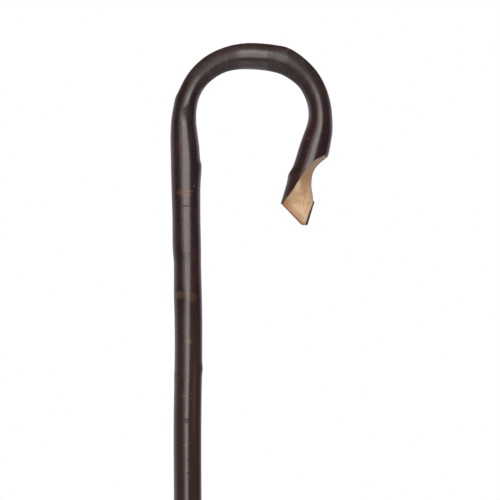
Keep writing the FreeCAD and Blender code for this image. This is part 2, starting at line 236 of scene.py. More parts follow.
def stick_line(s):
    """Middle of the stick and the direction that points out of the hook, at lengths s.

    Up the shank the middle follows the table's edges. On a bend of radius r it is the bend's
    centre plus r times the outward direction, which turns by the length divided by r.
    """
    x = (through(s, SHANK, 1) + through(s, SHANK, 2)) / 2
    y = through(s, SHANK, 3)
    z = s + 0.0
    heading = np.full(np.shape(s), math.pi / 2)
    for along, *run in RUNS:
        on = s >= along
        new_x, new_z, new = run_point(s - along, *run)
        heading = np.where(on, new, heading)
        x, z = np.where(on, new_x, x), np.where(on, new_z, z)
        y = np.where(on, 0.0, y)
    return x, y, z, -np.sin(heading), np.cos(heading)


def wobble(angle, s):
    """Slow unevenness of a grown stick: a sum of waves round it, each swelling along it."""
    rng = np.random.default_rng(7)
    total = 0.0
    for lobes in (2, 3, 3, 4, 5):
        phase, drift, beat = rng.uniform(0, 2 * math.pi, 3)
        wave = rng.uniform(60, 170)
        turn = rng.uniform(-1.2, 1.2) * np.sin(s / 140.0 + drift)
        total = total + np.cos(lobes * angle + phase + turn) * np.sin(s / wave + beat)
    return total


def knots(angle, s):
    """Sum of the knots: each is a bell round the stick times a slope up and a steeper one past."""
    total = 0.0
    for along, degrees, rise, before, after, half in KNOTS:
        turn = (angle - math.radians(degrees) + math.pi) % (2 * math.pi) - math.pi
        away = s - along
        slope = np.where(away < 0, before, after)
        total = total + rise * np.exp(-(turn / math.radians(half)) ** 2 - (away / slope) ** 2)
    return total


def bark_radius(angle, s):
    """Distance from the line to the bark's outer face, at an angle from the outward direction.

    The section is an ellipse whose middle stands outside the line: the distance R solves
    ((R cos - out) / a)^2 + (R sin / b)^2 = 1. Knots and the slow unevenness are added to it.
    """
    shank = s < SHANK_TOP
    on_shank = (through(s, SHANK, 2) - through(s, SHANK, 1)) / 2
    d = s - SHANK_TOP
    a = np.where(shank, on_shank, through(d, GIRTH, 1))
    b = a + np.where(shank, 0.0, through(d, GIRTH, 2))
    out = np.where(shank, 0.0, through(d, GIRTH, 3))
    c, f = np.cos(angle), np.sin(angle)
    square = (c / a) ** 2 + (f / b) ** 2
    linear = c * out / a ** 2
    rest = (out / a) ** 2 - 1
    radius = (linear + np.sqrt(linear ** 2 - square * rest)) / square
    front = f ** 2
    return radius + knots(angle, s) + wobble(angle, s) * (UNEVEN_SIDE + UNEVEN_FRONT * front)


def flank_radius(angle, s):
    """Distance from the line to the carved flank: depth / (cos * sin turn + |sin| * cos turn),
    with the |sin| rounded near nought, where the front and back flanks meet."""
    back = SAW_CUT - s
    depth = through(back, FLANK, 1)
    turn = np.radians(through(back, FLANK, 2))
    side = np.sin(angle)
    side = np.hypot(side, RIDGE_ROUND) - RIDGE_ROUND * np.exp(-(side / RIDGE_REACH) ** 2)
    facing = np.cos(angle) * np.sin(turn) + side * np.cos(turn)
    reach = np.where(facing > 0.02, depth / np.maximum(facing, 0.02), NO_FLANK)
    return np.where(back > CARVE_START, NO_FLANK, reach)


def saw_face(w, h):
    """Length along the stick of the end's face at a point w outwards and h in front of the line:
    a slanted flat that rounds off past its half width, and a rounded outer corner."""
    return (SAW_CUT + SAW_SLOPE * w - SAW_ROUND * np.maximum(0, np.abs(h) - SAW_FLAT) ** 2
            - CORNER_ROUND * np.maximum(0, w - CORNER_START) ** 2)


def place(angle, s, radius):
    """Points at a distance from the stick's line, in metres."""
    x, y, z, out_x, out_z = stick_line(s)
    w, h = polar(radius, angle)
    return np.stack([x + w * out_x, y - h, z + w * out_z], axis=-1) * MM


# -------- meshes

def grid_faces(rows, columns, start, closed):
    """Quads between the points of a grid, joined round its columns when closed."""
    r = np.arange(rows - 1)[:, None]
    c = np.arange(columns if closed else columns - 1)[None, :]
    n = (c + 1) % columns
    quads = np.stack([r * columns + c, r * columns + n,
                      (r + 1) * columns + n, (r + 1) * columns + c], axis=-1)
    return quads.reshape(-1, 4) + start


def add_object(name, data):
    """Places an object with this data in the scene."""
    made = bpy.data.objects.new(name, data)
    bpy.context.scene.collection.objects.link(made)
    return made


def build_piece(name, grids, replaced, material, sharp):
    """Makes one piece from grids of points, each with its place on the straightened stick.

    Points that fall together are merged, normals are set to point outwards, and edges sharper
    than an angle stay crisp.
    """
    points, straight, faces, count = [], [], [], 0
    for grid, unbent, closed in grids:
        rows, columns = grid.shape[:2]
        points.append(grid.reshape(-1, 3))
        straight.append(unbent.reshape(-1, 3))
        faces.append(grid_faces(rows, columns, count, closed))
        count += rows * columns
    mesh = bpy.data.meshes.new(name)
    mesh.from_pydata(np.concatenate(points), [], np.concatenate(faces).tolist())
    layer = mesh.attributes.new("straight", "FLOAT_VECTOR", "POINT")
    layer.data.foreach_set("vector", np.concatenate(straight).astype(np.float32).ravel())
    shell = bmesh.new()
    shell.from_mesh(mesh)
    bmesh.ops.remove_doubles(shell, verts=shell.verts, dist=2e-6)
    bmesh.ops.dissolve_degenerate(shell, edges=shell.edges, dist=1e-7)
    bmesh.ops.recalc_face_normals(shell, faces=shell.faces)
    shell.to_mesh(mesh)
    shell.free()
    mesh.validate()
    mesh.shade_smooth()
    mesh.set_sharp_from_angle(angle=math.radians(sharp))
    mesh.materials.append(material)
    piece = add_object(name, mesh)
    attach(piece, "root")
    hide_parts(replaced)


def unbend(angle, s, radius):
    """Place on the straightened stick, in metres: outwards, to the front, along."""
    return np.stack(np.broadcast_arrays(*polar(radius, angle), s), axis=-1) * MM


def layer_grid(angle, s, radius, closed):
    """Grid of points at a distance from the stick's line, as build_piece takes it."""
    return place(angle, s, radius), unbend(angle, s, radius), closed


def rim_grid(layers, row):
    """Grid that joins a row of one layer to the same row of the next."""
    (outer, outer_straight, closed), (inner, inner_straight, _) = layers
    return (np.stack([outer[row], inner[row]]),
            np.stack([outer_straight[row], inner_straight[row]]), closed)


def first_cut(angle, peel):
    """Length at which each column of a layer of the stick first meets the carving or saw cut."""
    past_cut, count = BARK_SEARCH
    s = np.linspace(SAW_CUT - CARVE_START, SAW_CUT + past_cut, count)[:, None]
    radius = bark_radius(angle[None, :], s) - peel
    past_flank = radius - flank_radius(angle[None, :], s)
    past_saw = s - saw_face(*polar(radius, angle))
    past = np.maximum(past_flank, past_saw)
    row = np.argmax(past > 0, axis=0)
    column = np.arange(len(angle))
    low, high = past[row - 1, column], past[row, column]
    step = s[1, 0] - s[0, 0]
    return s[row, 0] - step * high / (high - low)


def bark_rows(low, high, count):
    """Even rows whose spacing shrinks towards the hook, where the bends and the carving are."""
    u = np.linspace(0, 1, count)
    return low + (high - low) * (1 - (1 - u) ** ROW_SQUEEZE)


def bark_grids(columns, peel_depth):
    """Bark from the ferrule to the carving: outer face, inner face, and the cut rims between."""
    angle = turns(columns)
    layers = []
    for peel, (far, near) in ((0.0, BARK_ROWS), (peel_depth, UNDER_ROWS)):
        last = first_cut(angle, peel)
        stem = bark_rows(SLEEVE_TOP, SAW_CUT - CARVE_START, far)[:-1, None]
        stem = np.broadcast_to(stem, (far - 1, columns))
        v = np.linspace(0, 1, near)[:, None]
        tail = (SAW_CUT - CARVE_START) * (1 - v) + last[None, :] * v
        s = np.concatenate([stem, tail])
        layers.append(layer_grid(angle[None, :], s, bark_radius(angle[None, :], s) - peel, True))
    return layers + [rim_grid(layers, 0), rim_grid(layers, -1)]


class CarvedNose:
    """Half section of the wood's nose, point by point, at any length along it."""

    def __init__(self, peel):
        self.peel = peel
        past_cut, count = NOSE_SEARCH
        s = np.linspace(SAW_CUT - CARVE_START, SAW_CUT + past_cut, count)
        angle = np.linspace(0, math.pi, 721)
        self.s = s
        self.first, self.last = self.bite(angle, s, peel)
        self.bark_first, _ = self.bite(angle, s, 0.0)

    @staticmethod
    def bite(angle, s, peel):
        """Angles between which the flank lies inside a layer of the stick."""
        gap = flank_radius(angle[None, :], s[:, None]) - (
            bark_radius(angle[None, :], s[:, None]) - peel)
        inside = gap < 0
        found = inside.any(axis=1)
        rows = np.arange(len(s))
        first = np.argmax(inside, axis=1)
        last = len(angle) - 1 - np.argmax(inside[:, ::-1], axis=1)
        step = angle[1]

        def crossing(outer, inner):
            a, b = gap[rows, outer], gap[rows, inner]
            share = np.where(np.abs(a - b) > 1e-9, a / (a - b), 0.0)
            return angle[outer] + (angle[inner] - angle[outer]) * np.clip(share, 0, 1)

        start = np.where(first > 0, crossing(np.maximum(first - 1, 0), first), 0.0)
        end = crossing(np.minimum(last + 1, len(angle) - 1), last)
        closest = angle[np.argmin(gap, axis=1)]
        start = np.where(found, start, closest - step)
        end = np.where(found, end, closest + step)
        return np.maximum(start, 0.0), np.minimum(end, math.pi)

    @staticmethod
    def half(cells):
        """Shares along the half section: outer rim, flank, inner rim, as (part, share) arrays."""
        part = np.repeat([0.0, 1.0, 2.0], cells)
        share = np.concatenate([np.arange(n) / n for n in cells])
        return np.append(part, 2.0), np.append(share, 1.0)

    def angle(self, part, share, s):
        """Angle of a half section's point: its share of the way over its part."""
        first = np.maximum(np.interp(s, self.s, self.first), 0.02)
        last = np.maximum(np.interp(s, self.s, self.last), first + 0.04)
        last = np.minimum(last, math.pi - 0.02)
        low = np.choose(part.astype(int), [0.0 * first, first, last])
        high = np.choose(part.astype(int), [first, last, 0.0 * last + math.pi])
        return low + (high - low) * share

    def radius(self, angle, s):
        """Wood's face: the nearer of the peeled stick and the flank."""
        return np.minimum(bark_radius(angle, s) - self.peel, flank_radius(angle, s))


def sawn_end(angle_at, radius_at, start):
    """Lengths at which columns meet the saw cut, found by going half way to it again and again."""
    end = start
    for _ in range(HALVINGS):
        angle = angle_at(end)
        end = 0.5 * end + 0.5 * saw_face(*polar(radius_at(angle, end), angle))
    return end


def wood_grids(peel):
    """Wood under the bark, its carved nose, the saw cut face and the tenon in the ferrule."""
    nose = CarvedNose(peel)
    part, share = nose.half(NOSE_CELLS)
    end = sawn_end(lambda s: nose.angle(part, share, s), nose.radius,
                   np.full(part.shape, SAW_CUT))
    far, near = WOOD_ROWS
    v = np.linspace(0, 1, near)[:, None]
    tail = (SAW_CUT - CARVE_START) * (1 - v) + end[None, :] * v
    stem = np.broadcast_to(np.linspace(SLEEVE_TOP, SAW_CUT - CARVE_START, far)[:-1, None],
                           (far - 1, len(part)))
    s = np.concatenate([stem, tail])
    carved = nose.angle(part[None, :], share[None, :], np.maximum(s, SAW_CUT - CARVE_START))
    radius = nose.radius(carved, s)
    full, full_s, full_radius = (
        np.concatenate([half, other[:, -2:0:-1]], axis=1)
        for half, other in ((carved, 2 * math.pi - carved), (s, s), (radius, radius)))
    grids = [layer_grid(full, full_s, full_radius, True)]

    # Saw cut face: rows across it from the front edge to the back edge
    w, h = polar(radius[-1], carved[-1])
    crease = np.minimum(SAW_FLAT / np.maximum(h, 1e-6), 0.97)
    steps = np.concatenate([1 - np.linspace(0, 1, 4)[:-1, None] * (1 - crease),
                            np.linspace(1, -1, 9)[:, None] * crease,
                            -1 + np.linspace(1, 0, 4)[1:, None] * (1 - crease)])
    across = steps * h[None, :]
    wide = np.broadcast_to(w, across.shape)
    grids.append(layer_grid(np.arctan2(across, wide), saw_face(wide, across),
                            np.hypot(across, wide), False))

    # Tenon: from the shoulder in, down, and closed at the middle
    x, y = stick_line(np.full(full.shape[1], SLEEVE_TOP))[:2]
    rings = []
    for height, ring in ((SLEEVE_TOP, full_radius[0]), (SLEEVE_TOP, BORE), (TIP_TOP, BORE),
                         (TIP_TOP, 0.0)):
        w, h = polar(ring, full[0])
        rings.append(np.stack([x - w, y - h, np.full(x.shape, height)], axis=-1) * MM)
    tenon = np.stack(rings)
    grids.append((tenon, tenon, True))
    return grids


def nose_bark_grids(peel):
    """Strip of bark on the nose's outer edge: outer face, inner face and its saw cut end."""
    nose = CarvedNose(peel)
    low = nose.s[np.argmax((nose.s > SAW_CUT - STRIP_START) & (nose.first > 1e-3))]
    u = np.concatenate([np.linspace(0, 1, 8)[:-1], np.linspace(1, 2, 4)])
    u = np.concatenate([-u[:0:-1], u])

    def angles(s):
        edge = np.interp(s, nose.s, nose.first)
        crest = np.minimum(np.interp(s, nose.s, nose.bark_first), edge)
        past = crest + (edge - crest) * (np.abs(u) - 1)
        return np.sign(u) * np.where(np.abs(u) <= 1, crest * np.abs(u), past)

    layers = []
    for outer in (True, False):
        def reach(angle, s):
            if outer:
                return np.minimum(bark_radius(angle, s), np.maximum(
                    flank_radius(angle, s), bark_radius(angle, s) - peel))
            return bark_radius(angle, s) - peel
        end = sawn_end(angles, reach, np.full(u.shape, SAW_CUT + 4.0))
        v = np.linspace(0, 1, STRIP_ROWS)[:, None]
        s = low * (1 - v) + end[None, :] * v
        angle = angles(s)
        layers.append(layer_grid(angle, s, reach(angle, s), False))
    return layers + [rim_grid(layers, -1)]


def turned_grid(profile, columns=96):
    """Body turned about the foot's axis: each (radius, height) of a profile is a ring."""
    angle = turns(columns)[None, :]
    radius, height = np.array(profile, dtype=float).T[:, :, None]
    ring = np.stack([*polar(radius, angle), height + 0 * angle], axis=-1) * MM
    return [(ring, ring, True)]


def rounded(corner, before, after, size, count=6):
    """Points of a rounded corner: a curve from one edge to the other, pulled to the corner."""
    corner, before, after = (np.array(point, dtype=float) for point in (corner, before, after))
    start = corner + (before - corner) * size / np.linalg.norm(before - corner)
    end = corner + (after - corner) * size / np.linalg.norm(after - corner)
    t = np.linspace(0, 1, count)[:, None]
    return [tuple(p) for p in (1 - t) ** 2 * start + 2 * t * (1 - t) * corner + t * t * end]


# -------- materials

def node(tree, kind, inputs=None, **settings):
    """Adds a node, sets it, and plugs or sets its inputs."""
    made = tree.nodes.new("ShaderNode" + kind)
    for name, value in settings.items():
        setattr(made, name, value)
    for name, value in (inputs or {}).items():
        if isinstance(value, bpy.types.NodeSocket):
            tree.links.new(value, made.inputs[name])
        else:
            made.inputs[name].default_value = value
    return made


def math_node(tree, operation, first, second=0.0, third=None):
    """One sum of two or three values."""
    inputs = {0: first, 1: second}
    if third is not None:
        inputs[2] = third
    return node(tree, "Math", inputs, operation=operation).outputs[0]


def times(tree, first, second):
    """Product of two values."""
    return math_node(tree, "MULTIPLY", first, second)


def plus(tree, total, value, share):
    """Total with a share of a value added to it."""
    return math_node(tree, "MULTIPLY_ADD", value, share, total)


def ramp(tree, value, low, high, start=0.0, end=1.0):
    """Smooth step of a value from one level to another."""
    return node(tree, "MapRange", {"Value": value, "From Min": low, "From Max": high,
                                   "To Min": start, "To Max": end},
                interpolation_type="SMOOTHSTEP").outputs[0]


def noise(tree, where, scale, detail, roughness=0.5, twist=0.0, **settings):
    """Cloudy noise at places, from nought to one."""
    return node(tree, "TexNoise", {"Vector": where, "Scale": scale, "Detail": detail,
                                   "Roughness": roughness, "Distortion": twist}, **settings)


def vector(tree, operation, first, second):
    """One sum of two vectors."""
    return node(tree, "VectorMath", {0: first, 1: second}, operation=operation).outputs[0]


def distance(tree, first, second):
    """Distance between two places."""
    return node(tree, "VectorMath", {0: first, 1: second}, operation="DISTANCE").outputs["Value"]


def colour(values):
    """Colour of a property with full opacity."""
    return (*values, 1.0)


def blend(tree, mask, under, over):
    """Colour over another by a mask."""
    under, over = (tint if isinstance(tint, bpy.types.NodeSocket) else colour(tint)
                   for tint in (under, over))
    return node(tree, "Mix", {0: mask, 6: under, 7: over}, data_type="RGBA").outputs[2]


def new_group(name, inputs, outputs):
    """Shader group with named sockets, and its two ends."""
    tree = bpy.data.node_groups.new(name, "ShaderNodeTree")
    for title, kind, default in inputs:
        socket = tree.interface.new_socket(title, in_out="INPUT", socket_type="NodeSocket" + kind)
        if default is not None:
            socket.default_value = default
    for title, kind in outputs:
        tree.interface.new_socket(title, in_out="OUTPUT", socket_type="NodeSocket" + kind)
    return tree, tree.nodes.new("NodeGroupInput").outputs, tree.nodes.new("NodeGroupOutput").inputs


def grain_group(name):
    """Streaks along the stick: noise drawn out lengthwise, coarse and fine."""
    tree, given, result = new_group(
        name, [("Place", "Vector", None), ("Across", "Float", 600.0),
               ("Along", "Float", 20.0), ("Twist", "Float", 2.0)],
        [("Coarse", "Float"), ("Fine", "Float")])
    bend = noise(tree, given["Place"], 14.0, 2.0).outputs["Color"]
    moved = vector(tree, "ADD", given["Place"],
                   vector(tree, "MULTIPLY", bend, (0.002, 0.002, 0.0)))
    size = node(tree, "CombineXYZ", {0: given["Across"], 1: given["Across"], 2: given["Along"]})
    drawn = vector(tree, "MULTIPLY", moved, size.outputs[0])
    coarse = noise(tree, drawn, 1.0, 4.0, 0.6, given["Twist"])
    fine = noise(tree, drawn, 3.7, 3.0)
    tree.links.new(coarse.outputs[0], result["Coarse"])
    tree.links.new(fine.outputs[0], result["Fine"])
    return tree


def patch_group(name):
    """Soft patch round a point: its edge is broken up by noise."""
    tree, given, result = new_group(
        name, [("Place", "Vector", None), ("Centre", "Vector", (0.0, 0.0, 0.0)),
               ("Stretch", "Vector", (1.0, 1.0, 1.0)), ("Size", "Float", 0.004),
               ("Ragged", "Float", 0.5), ("Pattern", "Float", 500.0)],
        [("Mask", "Float")])
    off = vector(tree, "SUBTRACT", given["Place"], given["Centre"])
    far = distance(tree, vector(tree, "MULTIPLY", off, given["Stretch"]), (0.0, 0.0, 0.0))
    ragged = noise(tree, given["Place"], given["Pattern"], 3.0).outputs[0]
    rough = math_node(tree, "MULTIPLY_ADD", math_node(tree, "SUBTRACT", ragged, 0.5),
                      times(tree, given["Ragged"], 2.0),
                      math_node(tree, "DIVIDE", far, given["Size"]))
    tree.links.new(ramp(tree, rough, 1.15, 0.55), result["Mask"])
    return tree


def scuff_group(name):
    """Fine scratches and dull smears of handled metal."""
    tree, given, result = new_group(
        name, [("Place", "Vector", None), ("Scale", "Float", 300.0)],
        [("Scratch", "Float"), ("Smear", "Float")])
    drawn = node(tree, "Mapping", {"Vector": given["Place"], "Scale": (1.0, 1.0, 9.0),
                                   "Rotation": (0.3, 0.2, 0.0)}).outputs[0]
    lines = noise(tree, drawn, given["Scale"], 6.0, 0.7).outputs[0]
    smear = noise(tree, given["Place"], 90.0, 4.0, 0.5, 1.0).outputs[0]
    tree.links.new(ramp(tree, lines, 0.55, 0.7), result["Scratch"])
    tree.links.new(ramp(tree, smear, 0.35, 0.7), result["Smear"])
    return tree


def use_group(tree, name, make, inputs):
    """Places the named shared group in a material, making it the first time it is needed."""
    shared = bpy.data.node_groups.get(name) or make(name)
    return node(tree, "Group", inputs, node_tree=shared).outputs


def patch(tree, where, centre, stretch, size, ragged, pattern):
    """Mask of a soft patch round a point of the straightened stick."""
    return use_group(tree, "Patch", patch_group, {
        "Place": where, "Centre": on_stick(*centre), "Stretch": stretch, "Size": size * MM,
        "Ragged": ragged, "Pattern": pattern})["Mask"]


def new_material(name):
    """Material and its empty tree."""
    material = bpy.data.materials.new(name)
    material.use_nodes = True
    material.node_tree.nodes.clear()
    return material, material.node_tree


def straight_place(tree):
    """Place on the straightened stick."""
    return node(tree, "Attribute", attribute_name="straight").outputs["Vector"]


def add_surface(tree, inputs):
    """Ends a material with its shader and its output."""
    surface = node(tree, "BsdfPrincipled", inputs)
    node(tree, "OutputMaterial", {0: surface.outputs[0]})


def finish(material, inputs, height, strength, depth):
    """Ends a material with its shader, bumped by a height."""
    tree = material.node_tree
    bump = node(tree, "Bump", {"Strength": strength, "Distance": depth, "Height": height})
    add_surface(tree, dict(inputs, Normal=bump.outputs[0]))
    return material


def on_stick(along, degrees, radius):
    """Place on the straightened stick of a point at a length and an angle, in metres."""
    turn = math.radians(degrees)
    return (radius * MM * math.cos(turn), radius * MM * math.sin(turn), along * MM)


# Marks on the bark: length, angle, radius of the stick there, half length across and along, tone,
# strength. Most are the bark's own colour. The dark ones at the heel and the dark line across the
# crown are painted shade, and the grey one is a painted sheen.
PATCHES = (
    (1077, 66, 13.6, 3.6, 3, "red", 0.6), (1078.5, 108, 13.6, 4.2, 1.6, "red", 0.6),
    (1075, 100, 13.6, 5, 1.5, "red", 0.5), (1064.5, 89, 13.4, 5, 0.8, "dark", 0.8),
    (1083.5, 124, 13.6, 1, 0.8, "tan", 0.9), (1126.5, 76, 13.5, 0.8, 0.8, "tan", 0.8),
    (985.5, 50, 13.4, 2.6, 3.6, "dark", 0.7), (980, 51, 13.4, 6, 4.2, "tan", 0.5),
    (978, 107, 13.4, 5.5, 5.5, "tan", 0.35), (945.5, 70, 13.2, 0.6, 0.6, "tan", 0.9),
    (936, 96, 13.1, 2, 2.2, "tan", 0.8), (918.5, 143, 13.1, 0.8, 0.8, "tan", 0.8),
    (907.5, 66, 13.2, 0.6, 0.6, "tan", 0.8), (902, 47, 13.2, 1.1, 0.8, "tan", 0.8),
    (904.5, 30, 13.2, 1.4, 1.2, "dark", 0.7), (885, 75, 13.2, 2.2, 1.5, "red", 0.8),
    (887, 108, 13.2, 1.2, 0.8, "red", 0.8), (861, 92, 13.3, 5, 2.6, "dark", 0.65),
    (837.5, 80, 13.3, 3.4, 0.7, "tan", 0.5), (811.5, 92, 13.3, 1.2, 1.2, "dark", 0.7),
    (804, 126, 13.3, 0.8, 0.8, "tan", 0.95), (880, 121, 13.3, 2.4, 46, "warm", 0.5),
    # Heel: these two dark dull marks are painted shade beside the highlight, over the dent there
    (1154, 112, 12.4, 7, 9, "dark", 0.95), (1127, 124, 13.6, 4.5, 11, "dark", 0.7),
    # Crown: the long thin dark mark is painted shade in a crease; the next is a knot's own dark
    # spot
    (1262, 78, 13.2, 13, 0.8, "dark", 0.85), (1274, 30, 13.6, 2, 1.5, "dark", 0.9),
    # Crown: the grey mark is a painted dull bluish sheen; the tan one is a knot's own spot
    (1276.8, 26, 13.6, 1.4, 1.2, "tan", 0.9), (1273, 79, 13.6, 5, 7.5, "grey", 0.7),
    (1368.5, 128, 14.5, 1, 0.9, "tan", 0.9), (1380, 119, 14.5, 0.9, 0.9, "tan", 0.7),
    (1413, 138, 14.9, 1, 0.9, "tan", 0.7),
)


def bark_material(colours):
    """Varnished dark bark: streaks, a duller mottled crown, ragged marks, pores and ticks. The
    ticks are darkened in their dents as painted shade, some dark marks are painted shade, and
    the grey mark is a painted dull bluish sheen.
    """
    material, tree = new_material("Varnished bark")
    where = straight_place(tree)
    grain = use_group(tree, "Long grain", grain_group,
                      {"Place": where, "Across": 420.0, "Along": 26.0})
    cloud = noise(tree, where, 55.0, 5.0, 0.6, 0.6).outputs[0]
    outer, front, along = node(tree, "SeparateXYZ", {0: where}).outputs
    base = blend(tree, ramp(tree, grain["Coarse"], 0.3, 0.7),
                 colours.bark_dark, colours.bark_brown)
    redder = times(tree, ramp(tree, cloud, 0.42, 0.72, 0.0, 0.8),
                   ramp(tree, along, 0.88, 0.99, 0.35, 1.0))
    base = blend(tree, redder, base, colours.bark_red)
    base = blend(tree, ramp(tree, along, 1.0, 0.92, 0.0, 0.7), base, colours.bark_low)

    # The crown is duller and mottled grey brown, with ragged ends
    ragged = plus(tree, along, cloud, 0.05)
    crown = times(tree, ramp(tree, ragged, 1.195, 1.222), ramp(tree, ragged, 1.378, 1.318))
    fleck = noise(tree, where, 210.0, 6.0, 0.7, 0.8).outputs[0]
    mottle = times(tree, crown, ramp(tree, fleck, 0.42, 0.64))
    base = blend(tree, mottle, base, colours.bark_grey)

    # The skin laid flat, parted at the back: short ticks across the stick, dented and darkened in
    # their dents as painted shade, and pores
    turn = times(tree, math_node(tree, "ARCTAN2", outer, front), 0.013)
    skin = node(tree, "CombineXYZ", {0: turn, 1: along}).outputs[0]
    drawn = vector(tree, "MULTIPLY", skin, (150.0, 900.0, 1.0))
    tick_dent_and_shade = noise(tree, drawn, 1.0, 3.0, 0.6, noise_dimensions="2D").outputs[0]
    tick_dent_and_shade = times(tree, ramp(tree, tick_dent_and_shade, 0.56, 0.68), plus(tree, 0.3, crown, 0.7))
    # Painted shade: the ticks' dents darkened with the dark bark colour
    base = blend(tree, times(tree, tick_dent_and_shade, 0.6), base, colours.bark_dark)
    drawn = vector(tree, "MULTIPLY", skin, (0.8, 1.1, 1.0))
    cells = node(tree, "TexVoronoi", {"Vector": drawn, "Scale": 105.0},
                 voronoi_dimensions="2D")
    chosen = node(tree, "SeparateColor", {0: cells.outputs["Color"]}).outputs
    size = plus(tree, 0.02, chosen[0], 0.045)
    speck = ramp(tree, math_node(tree, "SUBTRACT", size, cells.outputs["Distance"]), 0.0, 0.03)
    speck = times(tree, speck, ramp(tree, chosen[1], 0.55, 0.95))
    base = blend(tree, times(tree, speck, 0.9), base, colours.pore)

    # Marks, of which the dark and grey ones are dull. The two dark ones at the heel and the dark
    # line across the crown are painted shade, and the grey one is a painted dull bluish sheen.
    tones = {"red": colours.mark_red, "tan": colours.mark_tan, "warm": colours.mark_warm,
             "dark": colours.dark_mark_and_shade, "grey": colours.painted_bluish_sheen}
    clear = ramp(tree, math_node(tree, "ABSOLUTE", math_node(tree, "SUBTRACT", along, 1.2485)),
                 0.020, 0.011, 0.9, 0.35)
    dull = times(tree, crown, clear)
    for *centre, across, long, tint, strength in PATCHES:
        mask = patch(tree, where, centre, (1.0, 1.0, across / long), across, 0.9, 700.0)
        mask = times(tree, mask, strength)
        base = blend(tree, mask, base, tones[tint])
        if tint in ("dark", "grey"):
            dull = math_node(tree, "MAXIMUM", dull, mask)

    # Height: streaks, flecks, pores and ticks
    height = times(tree, grain["Coarse"], 0.6)
    height = plus(tree, height, grain["Fine"], 0.25)
    height = plus(tree, height, cloud, 1.4)
    height = plus(tree, height, mottle, 0.3)
    height = plus(tree, height, speck, 0.5)
    height = plus(tree, height, tick_dent_and_shade, -0.3)
    strip = times(tree, ramp(tree, outer, 0.0105, 0.012),
                  ramp(tree, along, (SAW_CUT - 26) * MM, (SAW_CUT - 20) * MM))
    dull = math_node(tree, "MAXIMUM", dull, strip)
    rough = plus(tree, 0.22, grain["Fine"], 0.12)
    rough = plus(tree, rough, dull, 0.35)
    return finish(material, {
        "Base Color": base, "Roughness": rough, "Specular IOR Level": 0.5,
        "Coat Weight": plus(tree, 1.0, dull, -0.9), "Coat Roughness": 0.16}, height, 0.4, 0.0004)


def wood_material(colours):
    """Carved wood: year rings about an off-centre pith, brown up the neck and along the saw cut
    and pale in the middle of the flank. The brown along the saw cut is partly painted shade,
    and a painted highlight and a painted rim reflection are laid on the carving."""
    material, tree = new_material("Carved wood")
    where = straight_place(tree)
    grain = use_group(tree, "Long grain", grain_group,
                      {"Place": where, "Across": 900.0, "Along": 40.0})
    sway = noise(tree, where, 60.0, 3.0)
    off = vector(tree, "SUBTRACT", sway.outputs["Color"], (0.5, 0.5, 0.5))
    spot = vector(tree, "ADD", where, vector(tree, "MULTIPLY", off, (0.009, 0.009, 0.0)))
    flat = vector(tree, "MULTIPLY", spot, (1.0, 1.0, 0.0))
    middle = distance(tree, flat, (-0.0015, 0.0, 0.0))
    ring = math_node(tree, "FRACT", times(tree, middle, 520.0))
    ring = times(tree, ramp(tree, ring, 0.35, 0.95), ramp(tree, ring, 1.0, 0.93))
    base = blend(tree, ramp(tree, grain["Coarse"], 0.3, 0.75, 0.0, 0.8),
                 colours.wood_pale, colours.wood_tan)

    # Brown up the neck, beside the bark and along the saw cut, with wandering edges. Along the saw
    # cut it is partly a stain and partly painted shade of the rounded-over edge.
    outer, front, along = node(tree, "SeparateXYZ", {0: where}).outputs
    stray = plus(tree, -0.006, sway.outputs[0], 0.012)
    to_cut = math_node(tree, "MULTIPLY_ADD", outer, SAW_SLOPE,
                       math_node(tree, "SUBTRACT", SAW_CUT * MM, along))
    to_cut = math_node(tree, "ADD", to_cut, stray)
    # Along the saw cut: partly stain, partly painted shade where the cut's edge rounds over
    stain_and_shade = times(tree, ramp(tree, to_cut, 0.0105, 0.004, 0.0, 0.95),
                  ramp(tree, outer, 0.013, 0.005, 0.45, 1.0))
    neck = ramp(tree, math_node(tree, "ADD", to_cut, stray), 0.024, 0.040, 0.0, 0.45)
    stain_and_shade = math_node(tree, "MAXIMUM", stain_and_shade, neck)
    beside_strip = patch(tree, where, (SAW_CUT - 12.0, 26.0, 11.5), (1.0, 0.5, 0.35), 3.5,
                         0.7, 400.0)
    stain_and_shade = math_node(tree, "MAXIMUM", stain_and_shade, times(tree, beside_strip, 0.55))
    base = blend(tree, stain_and_shade, base, colours.wood_stain_and_shade)
    base = blend(tree, times(tree, ring, 0.5), base, colours.wood_ring)

    # Painted highlight beside the bark: a lighter patch of colour
    painted_highlight = patch(tree, where, (SAW_CUT - 29.0, 112.0, 12.5), (1.0, 0.5, 0.4), 2.8, 0.6, 400.0)
    base = blend(tree, times(tree, painted_highlight, 0.8), base, colours.wood_painted_highlight)

    # Painted greyish reflection along the edge where the front and back meet, and a dark line
    # under the bark
    painted_rim_reflection = ramp(tree, math_node(tree, "ABSOLUTE", front), 0.0026, 0.0011, 0.0, 0.8)
    base = blend(tree, painted_rim_reflection, base, colours.wood_painted_rim_reflection)
    rim = distance(tree, vector(tree, "MULTIPLY", where, (1.0, 1.0, 0.0)),
                   (-0.00095, 0.0, 0.0))
    base = blend(tree, ramp(tree, rim, 0.0137, 0.0142, 0.0, 0.9), base, colours.wood_dark)
    height = plus(tree, grain["Coarse"], ring, -0.4)
    height = plus(tree, height, grain["Fine"], 0.4)
    rough = plus(tree, 0.35, grain["Coarse"], 0.15)
    return finish(material, {"Base Color": base, "Roughness": rough, "Coat Weight": 0.5,
                             "Coat Roughness": 0.25}, height, 0.3, 0.0003)


